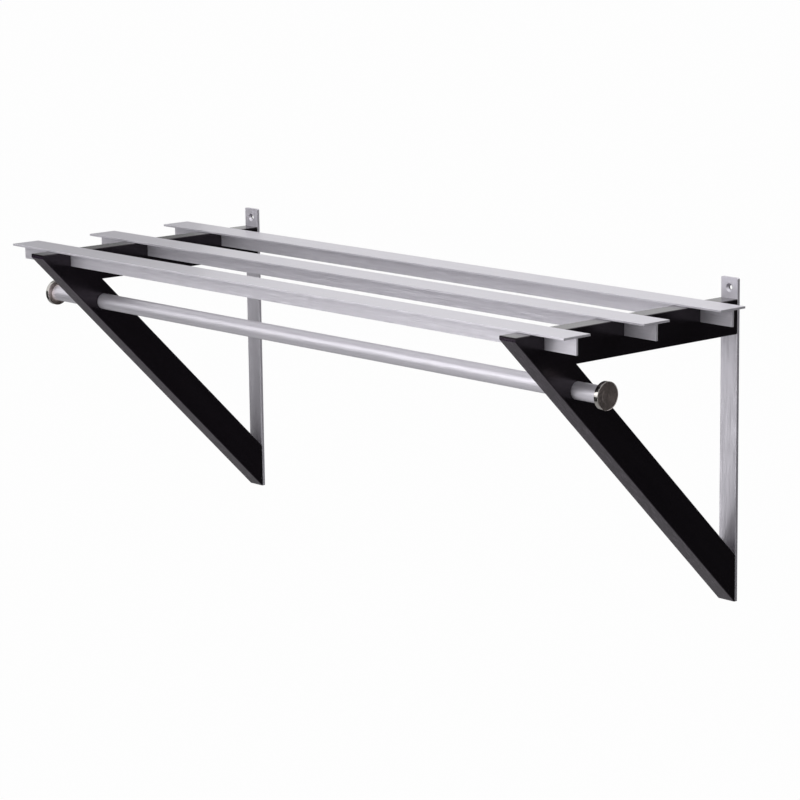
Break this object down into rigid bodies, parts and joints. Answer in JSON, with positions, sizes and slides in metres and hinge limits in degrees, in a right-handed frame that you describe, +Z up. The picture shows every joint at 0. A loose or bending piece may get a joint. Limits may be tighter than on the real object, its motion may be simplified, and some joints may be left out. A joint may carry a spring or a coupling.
{
  "type": "hat shelf",
  "caption": "Wall-mounted hat shelf: aluminium T-bars lie on black brackets with sloping braces, over a round hanging tube with turned steel end caps.",
  "frame": {"origin": "on the wall plane, midway between the middles of the two wall screw holes", "axes": "+X along the bars, to the right of someone who faces the wall; +Y into the wall; +Z up"},
  "size_m": [1.005, 0.352, 0.376],
  "materials": {
    "black_lacquer": "black satin lacquer over wood",
    "satin_aluminium": "satin anodised, fine grain along the length",
    "turned_steel": "turned face, polished rim",
    "zinc_steel": "bright zinc plated",
    "beech": "plain beech dowel",
    "black_rubber": "matte rubber"
  },
  "bodies": {
    "root": {"left_arm": "black_lacquer", "left_brace": "black_lacquer", "left_wall_rail": "satin_aluminium", "left_dowels": "beech", "left_rail_screws": "zinc_steel", "left_tube_screw": "zinc_steel", "right_arm": "black_lacquer", "right_brace": "black_lacquer", "right_wall_rail": "satin_aluminium", "right_dowels": "beech", "right_rail_screws": "zinc_steel", "right_tube_screw": "zinc_steel", "front_bar": "satin_aluminium", "middle_bar": "satin_aluminium", "rear_bar": "satin_aluminium", "hanging_tube": "satin_aluminium", "left_end_cap": "turned_steel", "right_end_cap": "turned_steel", "left_cap_ring": "black_rubber", "right_cap_ring": "black_rubber"}
  },
  "joints": []
}
